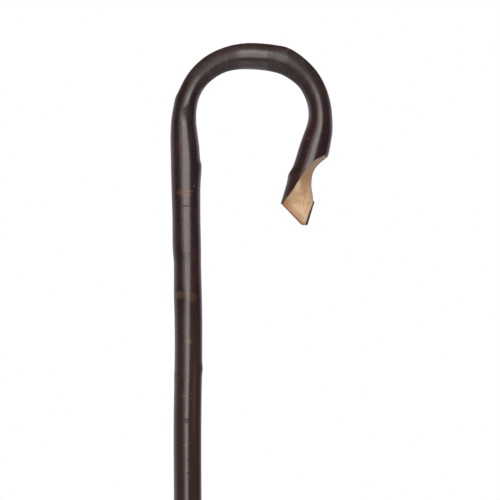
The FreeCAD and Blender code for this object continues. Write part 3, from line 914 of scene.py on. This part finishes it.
def metal_material(name, bright, dull, smooth):
    """Turned metal, scratched and smeared by wear, duller in its smears."""
    material, tree = new_material(name)
    where = node(tree, "TexCoord").outputs["Object"]
    scuffs = use_group(tree, "Scuffs", scuff_group, {"Place": where, "Scale": 420.0})
    base = blend(tree, times(tree, scuffs["Smear"], 0.7), bright, dull)
    rough = plus(tree, smooth, scuffs["Smear"], 0.22)
    rough = plus(tree, rough, scuffs["Scratch"], 0.15)
    return finish(material, {"Base Color": base, "Metallic": 1.0, "Roughness": rough},
                  scuffs["Scratch"], 0.2, 0.0001)


# -------- settings

def length(name, description, default):
    """Length property."""
    return FloatProperty(name=name, description=description, default=default, min=0.0,
                         unit="LENGTH", precision=5)


def tone(name, description, default):
    """Colour property."""
    return FloatVectorProperty(name=name, description=description, subtype="COLOR", size=3,
                               min=0.0, max=1.0, default=default)


class CrookSizes(bpy.types.PropertyGroup):
    """Sizes that a user would change"""

    bark_thick: length("Bark thickness", "Thickness of the bark over the wood", 0.0009)
    columns: IntProperty(
        name="Bark columns", description="Points round the bark", default=128, min=24)
    rim_round: length("Rim rounding", "How far the ferrule's rims are rounded off", 0.0005)
    camera_away: length("Camera distance", "Distance from the camera to the hook", 3.0)
    view_wide: length("View width", "Width of the view at the hook", 0.475)


class CrookColours(bpy.types.PropertyGroup):
    """Colours of the finishes"""

    bark_dark: tone("Bark, dark", "Dark streaks of the bark", (0.021, 0.0105, 0.011))
    bark_brown: tone("Bark, brown", "Ground colour of the bark", (0.034, 0.0175, 0.0175))
    bark_red: tone("Bark, red", "Reddish clouds in the bark", (0.051, 0.020, 0.019))
    bark_low: tone("Bark, low", "Browner bark low on the shank", (0.047, 0.028, 0.0225))
    bark_grey: tone("Bark, grey", "Mottling on the crown", (0.044, 0.034, 0.031))
    mark_red: tone("Red mark", "Red marks at the nodes", (0.16, 0.052, 0.036))
    mark_tan: tone("Tan mark", "Tan marks at the nodes", (0.15, 0.080, 0.044))
    mark_warm: tone("Warm streak", "Warm brown streak down the shank", (0.12, 0.045, 0.026))
    # Colour of real dark marks, and of painted shade at the heel and in a crease on the crown
    dark_mark_and_shade: tone("Dark mark and painted shade", "Dull dark marks and painted shade of the bark", (0.016, 0.0115, 0.0125))
    # Painted dull bluish sheen on the crown
    painted_bluish_sheen: tone("Painted bluish sheen", "Dull painted bluish sheen on the crown", (0.085, 0.080, 0.092))
    pore: tone("Pore", "Corky pores of the bark", (0.30, 0.14, 0.07))
    wood_pale: tone("Wood, pale", "Pale ground of the carved wood", (0.64, 0.455, 0.26))
    wood_tan: tone("Wood, tan", "Streaks of the carved wood", (0.59, 0.365, 0.19))
    wood_ring: tone("Wood, ring", "Late wood of the year rings", (0.40, 0.225, 0.105))
    # Colour of stains, and of painted shade along the saw cut
    wood_stain_and_shade: tone("Wood, stain", "Handled places and painted shade of the carved wood", (0.42, 0.20, 0.085))
    # Painted highlight beside the bark
    wood_painted_highlight: tone("Wood, shine", "Painted highlight on the carved wood", (0.78, 0.60, 0.40))
    # Painted greyish reflection along the ridge of the carving
    wood_painted_rim_reflection: tone("Wood, worn", "Painted greyish reflection along the carved wood's edge", (0.40, 0.31, 0.28))
    wood_dark: tone("Wood, dark", "Dark line under the bark", (0.05, 0.025, 0.018))
    brass: tone("Brass", "Bright brass of the ferrule", (0.72, 0.50, 0.20))
    brass_dull: tone("Brass, dull", "Tarnish on the brass", (0.38, 0.25, 0.11))
    steel: tone("Steel", "Worn steel of the tip", (0.45, 0.44, 0.42))
    steel_dull: tone("Steel, dull", "Dull places of the steel", (0.20, 0.18, 0.165))
    floor: tone("Floor", "Pale floor", (0.85, 0.85, 0.85))


# -------- operators

def settings(context):
    """Sizes and colours set on the scene."""
    return context.scene.crook_sizes, context.scene.crook_colours


class CROOK_OT_bark(bpy.types.Operator):
    """Bark from the ferrule to the carved nose"""

    bl_idname = "crook.bark"
    bl_label = "Bark"

    def execute(self, context):
        sizes, colours = settings(context)
        grids = bark_grids(sizes.columns, sizes.bark_thick / MM)
        build_piece("bark", grids, "stick_bark", bark_material(colours), 50.0)
        return {"FINISHED"}


class CROOK_OT_wood(bpy.types.Operator):
    """Wood of the stick with its carved nose and its tenon"""

    bl_idname = "crook.wood"
    bl_label = "Wood"

    def execute(self, context):
        sizes, colours = settings(context)
        grids = wood_grids(sizes.bark_thick / MM)
        build_piece("wood", grids, "stick_wood", wood_material(colours), 55.0)
        return {"FINISHED"}


class CROOK_OT_nose_bark(bpy.types.Operator):
    """Strip of bark left on the outer edge of the nose"""

    bl_idname = "crook.nose_bark"
    bl_label = "Nose bark"

    def execute(self, context):
        grids = nose_bark_grids(settings(context)[0].bark_thick / MM)
        material = bpy.data.materials["Varnished bark"]
        build_piece("nose_bark", grids, "nose_tip_bark", material, 40.0)
        return {"FINISHED"}


class CROOK_OT_ferrule(bpy.types.Operator):
    """Ferrule: brass sleeve, steel tip and the two pins"""

    bl_idname = "crook.ferrule"
    bl_label = "Ferrule"

    def execute(self, context):
        sizes, colours = settings(context)
        brass = metal_material("Worn brass", colours.brass, colours.brass_dull, 0.22)
        steel = metal_material("Worn steel", colours.steel, colours.steel_dull, 0.34)
        low, high, wide, rim = SLEEVE_FOOT, SLEEVE_TOP, SLEEVE_OUT, sizes.rim_round / MM
        ring = [(BORE, high), *rounded((wide, high), (BORE, high), (wide, low), rim),
                *rounded((wide, low), (wide, high), (BORE, low), rim), (BORE, low), (BORE, high)]
        build_piece("ferrule_sleeve_brass", turned_grid(ring), "ferrule_sleeve",
                    brass, 30.0)
        neck, plug = BORE - PLUG_GAP, TIP_TOP - PLUG_GAP
        edge = [(0.0, 0.0), *rounded((wide, 0.0), (0.0, 0.0), (wide, low), TIP_ROUND, 9),
                (wide, low), (neck, low), (neck, plug), (0.0, plug)]
        build_piece("ferrule_tip_steel", turned_grid(edge), "ferrule_tip",
                    steel, 30.0)
        build_piece("ferrule_pin_heads", pin_grids(wide), "ferrule_pins",
                    brass, 30.0)
        return {"FINISHED"}


def pin_grids(wide):
    """Two pins, front and back: a wire whose outer end is filed to a low dome."""
    low, high = (np.array(corner, dtype=float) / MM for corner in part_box("ferrule_pins"))
    middle, radius = (low[2] + high[2]) / 2, (high[2] - low[2]) / 2
    angle = turns(32)[None, :]
    deep = wide - PIN_DEEP
    profile = np.array([(0.0, deep), (radius, deep), (radius, wide - HEAD_EDGE),
                        (radius * 0.8, wide - HEAD_SLOPE), (radius * 0.4, wide), (0.0, wide)])
    ring, reach = profile.T[:, :, None]
    grids = []
    for side in (-1, 1):
        points = np.stack([ring * np.cos(angle), side * reach + 0 * angle,
                           middle + ring * np.sin(angle)], axis=-1) * MM
        grids.append((points, points, True))
    return grids


class CROOK_OT_stage(bpy.types.Operator):
    """Floor, white surroundings, soft front lamps and camera"""

    bl_idname = "crook.stage"
    bl_label = "Stage"

    def execute(self, context):
        sizes, colours = settings(context)
        make_floor(colours)
        make_world()
        for name, right, up, size, level in FRONT_LIGHTS:
            soft_box(name, math.radians(right), math.radians(up), size, level)
        lens = bpy.data.cameras.new("camera")
        lens.sensor_width = 36.0
        lens.lens = lens.sensor_width * sizes.camera_away / sizes.view_wide
        camera = add_object("camera", lens)
        camera.location = (VIEW_MIDDLE[0], -sizes.camera_away, VIEW_MIDDLE[2])
        camera.rotation_euler = (math.radians(90), 0.0, 0.0)
        context.scene.camera = camera
        context.scene.view_settings.view_transform = "Standard"
        return {"FINISHED"}


# Middle of the view, radius of the floor, distance of the lamps and their tint
VIEW_MIDDLE = (0.0593, 0.0, 1.0227)
FLOOR_RADIUS = 1.1
LAMP_AWAY = 3.6
LAMP_TINT = (1.0, 0.925, 0.89)

# What reflections see behind and above, and the light on everything else
GLOW_COOL = (0.90, 0.85, 1.0)
GLOW_WARM = (1.0, 0.6, 0.42)
ROOM_GREY = (0.35, 0.35, 0.35)

# Front lamps: degrees right of the camera and up, width and height, brightness. The large one is
# dim and the smaller ones give the gloss its brighter middle.
FRONT_LIGHTS = (
    ("wide_light", -8.0, 26.0, (4.4, 5.2), 0.85),
    ("middle_light", 0.0, 22.0, (2.4, 4.6), 1.9),
    ("core_light", 5.0, 50.0, (1.6, 1.8), 1.5),
)


def make_floor(colours):
    """Round pale floor that the ferrule stands on."""
    angle = turns(64)
    rim = np.stack([np.cos(angle), np.sin(angle), 0 * angle], axis=-1) * FLOOR_RADIUS
    mesh = bpy.data.meshes.new("floor")
    mesh.from_pydata(rim, [], [list(range(64))])
    material, tree = new_material("Pale floor")
    add_surface(tree, {"Base Color": colour(colours.floor), "Roughness": 0.8})
    mesh.materials.append(material)
    floor = add_object("floor", mesh)


def make_world():
    """White to the camera. Reflections see a dark room in front, a cool glow behind and below,
    and a warm dim one above; everything else gets soft grey light."""
    world = bpy.data.worlds.new("studio")
    world.use_nodes = True
    bpy.context.scene.world = world
    tree = world.node_tree
    tree.nodes.clear()
    ray = node(tree, "LightPath").outputs
    toward = node(tree, "TexCoord").outputs["Generated"]
    side, depth, rise = node(tree, "SeparateXYZ", {0: toward}).outputs
    depth = plus(tree, depth, side, -0.16)
    glow = times(tree, ramp(tree, depth, -0.05, 0.6, 0.0, 0.5),
                 ramp(tree, rise, 0.55, 0.05, 0.08, 1.0))
    glow = math_node(tree, "ADD", glow, ramp(tree, rise, -0.7, -1.0, 0.025, 0.4))
    tint = blend(tree, ramp(tree, rise, 0.1, 0.5), GLOW_COOL, GLOW_WARM)
    glossy = blend(tree, glow, (0.0, 0.0, 0.0), tint)
    light = blend(tree, ray["Is Glossy Ray"], ROOM_GREY, glossy)
    seen = math_node(tree, "MAXIMUM", ray["Is Camera Ray"], ray["Is Transmission Ray"])
    light = blend(tree, seen, light, (1.0, 1.0, 1.0))
    surface = node(tree, "Background", {"Color": light, "Strength": 1.0})
    node(tree, "OutputWorld", {0: surface.outputs[0]})


def soft_box(name, right, up, size, level):
    """Soft rectangular lamp, at angles from the camera's side of the middle of the view."""
    lamp = bpy.data.lights.new(name, "AREA")
    lamp.shape = "RECTANGLE"
    lamp.size, lamp.size_y = size
    lamp.color = LAMP_TINT
    lamp.energy = level * math.pi * size[0] * size[1]
    lamp_object = add_object(name, lamp)
    x, y, z = VIEW_MIDDLE
    lamp_object.location = (x + LAMP_AWAY * math.cos(up) * math.sin(right),
                            y - LAMP_AWAY * math.cos(up) * math.cos(right),
                            z + LAMP_AWAY * math.sin(up))
    lamp_object.rotation_euler = (math.pi / 2 - up, 0.0, right)
    lamp_object.visible_camera = False


class CROOK_PT_panel(bpy.types.Panel):
    """Sidebar panel with the crook's pieces, sizes and colours"""

    bl_idname = "CROOK_PT_panel"
    bl_label = "Shepherd Crook"
    bl_space_type = "VIEW_3D"
    bl_region_type = "UI"
    bl_category = "Crook"

    def draw(self, context):
        for maker in OPERATORS:
            self.layout.operator(maker.bl_idname)
        for group in settings(context):
            for name in group.__annotations__:
                self.layout.prop(group, name)


OPERATORS = (CROOK_OT_bark, CROOK_OT_wood, CROOK_OT_nose_bark, CROOK_OT_ferrule, CROOK_OT_stage)
CLASSES = (CrookSizes, CrookColours) + OPERATORS + (CROOK_PT_panel,)


def register():
    """Registers the classes and the settings on the scene."""
    for part in CLASSES:
        bpy.utils.register_class(part)
    bpy.types.Scene.crook_sizes = PointerProperty(type=CrookSizes)
    bpy.types.Scene.crook_colours = PointerProperty(type=CrookColours)


def unregister():
    """Takes the classes and the settings away again."""
    del bpy.types.Scene.crook_colours
    del bpy.types.Scene.crook_sizes
    for part in reversed(CLASSES):
        bpy.utils.unregister_class(part)


def main():
    """Builds the crook and its stage."""
    register()
    for maker in OPERATORS:
        step = getattr(bpy.ops.crook, maker.bl_idname.split(".")[1])
        if step() != {"FINISHED"}:
            raise RuntimeError("%s did not finish" % maker.bl_label)


if __name__ == "__main__":
    main()
